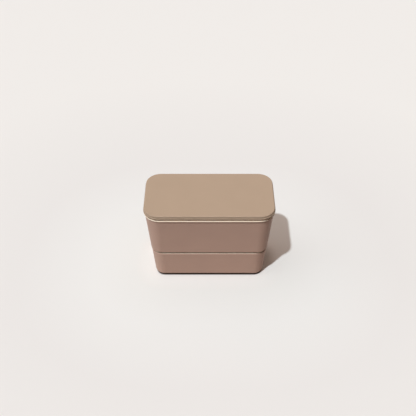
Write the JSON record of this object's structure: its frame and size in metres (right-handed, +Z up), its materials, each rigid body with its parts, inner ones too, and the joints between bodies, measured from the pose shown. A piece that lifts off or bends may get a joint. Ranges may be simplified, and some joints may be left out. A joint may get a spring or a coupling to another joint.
{
  "type": "bento lunch box",
  "caption": "Tall rounded bento lunch box with stacked drafted containers, cream sealing inner lids, a loose divider and a flat lift-off outer lid.",
  "frame": {"origin": "on the table, under the middle of the box's outline", "axes": "+X along the length, +Y from front to back, +Z up through the stack"},
  "size_m": [0.1864, 0.0994, 0.1272],
  "materials": {
    "lid_plastic": "tan polypropylene, satin matt",
    "container_plastic": "rosy taupe polypropylene, satin matt",
    "cream_plastic": "cream polypropylene, satin",
    "silicone": "white food silicone, matt"
  },
  "bodies": {
    "lower_box": {"lower_container": "container_plastic"},
    "lower_lid": {"lower_inner_lid": "cream_plastic", "lower_seal": "silicone", "lower_vent_plug": "silicone"},
    "upper_box": {"upper_container": "container_plastic"},
    "box_divider": {"divider": "cream_plastic"},
    "upper_lid": {"upper_inner_lid": "cream_plastic", "upper_seal": "silicone", "upper_vent_plug": "silicone"},
    "cover": {"outer_lid": "lid_plastic"}
  },
  "joints": [
    {"name": "lower_lid_lift", "type": "slide", "parent": "lower_box", "child": "lower_lid", "axis": [0, 0, 1], "range_m": [0, 0.06]},
    {"name": "upper_box_lift", "type": "slide", "parent": "lower_lid", "child": "upper_box", "axis": [0, 0, 1], "range_m": [0, 0.06]},
    {"name": "divider_slide", "type": "slide", "parent": "upper_box", "child": "box_divider", "axis": [1, 0, 0], "range_m": [-0.085, 0.038]},
    {"name": "upper_lid_lift", "type": "slide", "parent": "upper_box", "child": "upper_lid", "axis": [0, 0, 1], "range_m": [0, 0.06]},
    {"name": "cover_lift", "type": "slide", "parent": "upper_lid", "child": "cover", "axis": [0, 0, 1], "range_m": [0, 0.06]}
  ]
}
